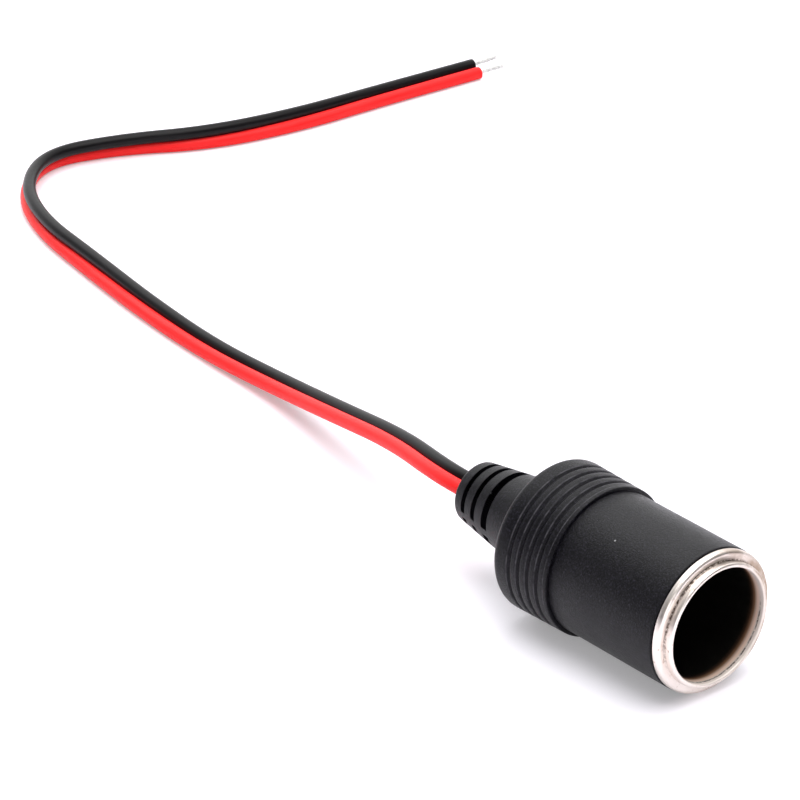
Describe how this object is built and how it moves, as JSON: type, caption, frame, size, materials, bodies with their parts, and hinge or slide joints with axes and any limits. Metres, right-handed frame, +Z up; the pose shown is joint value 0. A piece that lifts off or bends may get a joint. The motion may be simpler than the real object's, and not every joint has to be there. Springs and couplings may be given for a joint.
{
  "type": "cigarette lighter socket adapter cable",
  "caption": "Round female car lighter socket with a rolled metal lip, a ribbed collar and a slotted strain relief, on a twin red and black lead with bare wire ends.",
  "frame": {"origin": "on the surface the socket lies on, under the middle of the socket", "axes": "+X out of the mouth along the socket, level; +Z up; +Y to the left of +X"},
  "size_m": [0.2511, 0.1722, 0.0282],
  "materials": {
    "plated_metal": "nickel-plated drawn steel, a little worn",
    "black_moulding": "fine spark-eroded texture",
    "black_boot": "soft moulded plastic, fine texture",
    "insulator": "plain moulded",
    "fibre": "pressed fibre",
    "tag_brass": "tinned stamped strip",
    "solder": "set solder",
    "red_jacket": "satin extruded plastic",
    "black_jacket": "satin extruded plastic",
    "tinned_strands": "twisted tinned copper strands"
  },
  "bodies": {
    "root": {"contact_sleeve": "plated_metal", "barrel_shell": "black_moulding", "ribbed_boot": "black_boot", "base_insulator": "insulator", "insulating_washer": "fibre", "contact_rivet": "plated_metal", "positive_tag": "tag_brass", "negative_tag": "tag_brass", "positive_solder": "solder", "negative_solder": "solder", "red_insulation": "red_jacket", "black_insulation": "black_jacket", "red_conductor": "tinned_strands", "black_conductor": "tinned_strands"}
  },
  "joints": []
}
